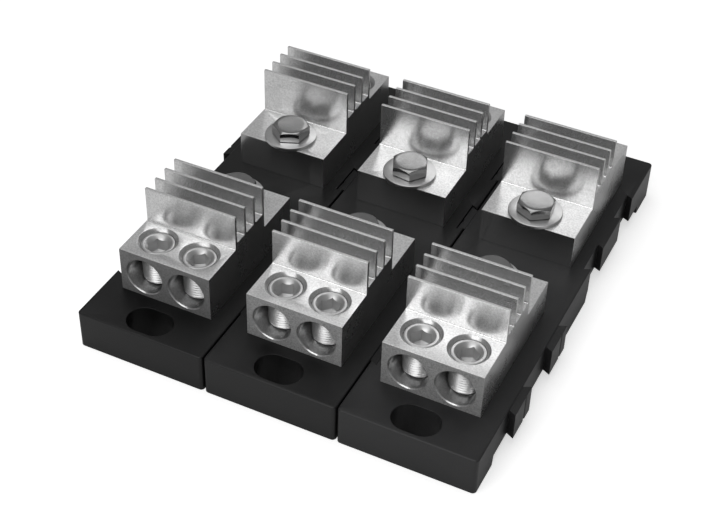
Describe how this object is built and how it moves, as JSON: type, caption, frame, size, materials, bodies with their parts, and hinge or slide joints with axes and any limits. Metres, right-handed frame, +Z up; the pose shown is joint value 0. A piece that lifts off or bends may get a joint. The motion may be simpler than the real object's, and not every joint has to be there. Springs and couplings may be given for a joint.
{
  "type": "modular fuse holder",
  "caption": "Modular fuse holder: hooked-together poles, each a black moulded base with two finned aluminium terminal blocks for wires and a bolt-in fuse.",
  "frame": {"origin": "on the mounting plane under the middle of the centre pole", "axes": "+X across the poles, +Y along each pole from its front end to its rear end, +Z up, away from the panel"},
  "size_m": [0.236, 0.27, 0.071],
  "materials": {
    "moulding": "fine matte moulded surface",
    "terminal": "satin tin-plated extrusion",
    "wire_screw": "plated machined screw",
    "bolt": "zinc-plated steel",
    "washer": "zinc-plated steel",
    "fixing": "dark zinc-plated steel"
  },
  "bodies": {
    "pole_1": {"base_1": "moulding", "front_terminal_1": "terminal", "rear_terminal_1": "terminal", "terminal_fixings_1": "fixing"},
    "pole_2": {"base_2": "moulding", "front_terminal_2": "terminal", "rear_terminal_2": "terminal", "terminal_fixings_2": "fixing"},
    "pole_3": {"base_3": "moulding", "front_terminal_3": "terminal", "rear_terminal_3": "terminal", "terminal_fixings_3": "fixing"},
    "front_wire_screw_1_left": {"front_wire_screw_1_left": "wire_screw"},
    "front_wire_screw_1_right": {"front_wire_screw_1_right": "wire_screw"},
    "front_washer_1": {"front_washer_1": "washer"},
    "front_bolt_1": {"front_bolt_1": "bolt"},
    "rear_wire_screw_1_left": {"rear_wire_screw_1_left": "wire_screw"},
    "rear_wire_screw_1_right": {"rear_wire_screw_1_right": "wire_screw"},
    "rear_washer_1": {"rear_washer_1": "washer"},
    "rear_bolt_1": {"rear_bolt_1": "bolt"},
    "front_wire_screw_2_left": {"front_wire_screw_2_left": "wire_screw"},
    "front_wire_screw_2_right": {"front_wire_screw_2_right": "wire_screw"},
    "front_washer_2": {"front_washer_2": "washer"},
    "front_bolt_2": {"front_bolt_2": "bolt"},
    "rear_wire_screw_2_left": {"rear_wire_screw_2_left": "wire_screw"},
    "rear_wire_screw_2_right": {"rear_wire_screw_2_right": "wire_screw"},
    "rear_washer_2": {"rear_washer_2": "washer"},
    "rear_bolt_2": {"rear_bolt_2": "bolt"},
    "front_wire_screw_3_left": {"front_wire_screw_3_left": "wire_screw"},
    "front_wire_screw_3_right": {"front_wire_screw_3_right": "wire_screw"},
    "front_washer_3": {"front_washer_3": "washer"},
    "front_bolt_3": {"front_bolt_3": "bolt"},
    "rear_wire_screw_3_left": {"rear_wire_screw_3_left": "wire_screw"},
    "rear_wire_screw_3_right": {"rear_wire_screw_3_right": "wire_screw"},
    "rear_washer_3": {"rear_washer_3": "washer"},
    "rear_bolt_3": {"rear_bolt_3": "bolt"}
  },
  "joints": [
    {"name": "pole_1_lift", "type": "slide", "parent": "pole_2", "child": "pole_1", "axis": [0, 0, 1], "range_m": [0, 0.024]},
    {"name": "pole_3_lift", "type": "slide", "parent": "pole_2", "child": "pole_3", "axis": [0, 0, 1], "range_m": [0, 0.024]},
    {"name": "front_wire_screw_1_left_back_off", "type": "slide", "parent": "pole_1", "child": "front_wire_screw_1_left", "axis": [0, 0, 1], "range_m": [0, 0.0198]},
    {"name": "front_wire_screw_1_right_back_off", "type": "slide", "parent": "pole_1", "child": "front_wire_screw_1_right", "axis": [0, 0, 1], "range_m": [0, 0.0198]},
    {"name": "front_washer_1_lift", "type": "slide", "parent": "pole_1", "child": "front_washer_1", "axis": [0, 0, 1], "range_m": [0, 0.01368]},
    {"name": "front_bolt_1_turn", "type": "hinge", "parent": "front_washer_1", "child": "front_bolt_1", "pos_m": [-0.0762, -0.0316, 0.0458], "axis": [0, 0, 1], "range_deg": [0, 2520]},
    {"name": "rear_wire_screw_1_left_back_off", "type": "slide", "parent": "pole_1", "child": "rear_wire_screw_1_left", "axis": [0, 0, 1], "range_m": [0, 0.0198]},
    {"name": "rear_wire_screw_1_right_back_off", "type": "slide", "parent": "pole_1", "child": "rear_wire_screw_1_right", "axis": [0, 0, 1], "range_m": [0, 0.0198]},
    {"name": "rear_washer_1_lift", "type": "slide", "parent": "pole_1", "child": "rear_washer_1", "axis": [0, 0, 1], "range_m": [0, 0.01368]},
    {"name": "rear_bolt_1_turn", "type": "hinge", "parent": "rear_washer_1", "child": "rear_bolt_1", "pos_m": [-0.0762, 0.0316, 0.0458], "axis": [0, 0, 1], "range_deg": [0, 2520]},
    {"name": "front_wire_screw_2_left_back_off", "type": "slide", "parent": "pole_2", "child": "front_wire_screw_2_left", "axis": [0, 0, 1], "range_m": [0, 0.0198]},
    {"name": "front_wire_screw_2_right_back_off", "type": "slide", "parent": "pole_2", "child": "front_wire_screw_2_right", "axis": [0, 0, 1], "range_m": [0, 0.0198]},
    {"name": "front_washer_2_lift", "type": "slide", "parent": "pole_2", "child": "front_washer_2", "axis": [0, 0, 1], "range_m": [0, 0.01368]},
    {"name": "front_bolt_2_turn", "type": "hinge", "parent": "front_washer_2", "child": "front_bolt_2", "pos_m": [0, -0.0316, 0.0458], "axis": [0, 0, 1], "range_deg": [0, 2520]},
    {"name": "rear_wire_screw_2_left_back_off", "type": "slide", "parent": "pole_2", "child": "rear_wire_screw_2_left", "axis": [0, 0, 1], "range_m": [0, 0.0198]},
    {"name": "rear_wire_screw_2_right_back_off", "type": "slide", "parent": "pole_2", "child": "rear_wire_screw_2_right", "axis": [0, 0, 1], "range_m": [0, 0.0198]},
    {"name": "rear_washer_2_lift", "type": "slide", "parent": "pole_2", "child": "rear_washer_2", "axis": [0, 0, 1], "range_m": [0, 0.01368]},
    {"name": "rear_bolt_2_turn", "type": "hinge", "parent": "rear_washer_2", "child": "rear_bolt_2", "pos_m": [0, 0.0316, 0.0458], "axis": [0, 0, 1], "range_deg": [0, 2520]},
    {"name": "front_wire_screw_3_left_back_off", "type": "slide", "parent": "pole_3", "child": "front_wire_screw_3_left", "axis": [0, 0, 1], "range_m": [0, 0.0198]},
    {"name": "front_wire_screw_3_right_back_off", "type": "slide", "parent": "pole_3", "child": "front_wire_screw_3_right", "axis": [0, 0, 1], "range_m": [0, 0.0198]},
    {"name": "front_washer_3_lift", "type": "slide", "parent": "pole_3", "child": "front_washer_3", "axis": [0, 0, 1], "range_m": [0, 0.01368]},
    {"name": "front_bolt_3_turn", "type": "hinge", "parent": "front_washer_3", "child": "front_bolt_3", "pos_m": [0.0762, -0.0316, 0.0458], "axis": [0, 0, 1], "range_deg": [0, 2520]},
    {"name": "rear_wire_screw_3_left_back_off", "type": "slide", "parent": "pole_3", "child": "rear_wire_screw_3_left", "axis": [0, 0, 1], "range_m": [0, 0.0198]},
    {"name": "rear_wire_screw_3_right_back_off", "type": "slide", "parent": "pole_3", "child": "rear_wire_screw_3_right", "axis": [0, 0, 1], "range_m": [0, 0.0198]},
    {"name": "rear_washer_3_lift", "type": "slide", "parent": "pole_3", "child": "rear_washer_3", "axis": [0, 0, 1], "range_m": [0, 0.01368]},
    {"name": "rear_bolt_3_turn", "type": "hinge", "parent": "rear_washer_3", "child": "rear_bolt_3", "pos_m": [0.0762, 0.0316, 0.0458], "axis": [0, 0, 1], "range_deg": [0, 2520]}
  ],
  "couplings": [
    {"joint": "front_bolt_1_turn", "follows": "front_washer_1_lift", "rad_per_m": 3215.8},
    {"joint": "rear_bolt_1_turn", "follows": "rear_washer_1_lift", "rad_per_m": 3215.8},
    {"joint": "front_bolt_2_turn", "follows": "front_washer_2_lift", "rad_per_m": 3215.8},
    {"joint": "rear_bolt_2_turn", "follows": "rear_washer_2_lift", "rad_per_m": 3215.8},
    {"joint": "front_bolt_3_turn", "follows": "front_washer_3_lift", "rad_per_m": 3215.8},
    {"joint": "rear_bolt_3_turn", "follows": "rear_washer_3_lift", "rad_per_m": 3215.8}
  ]
}
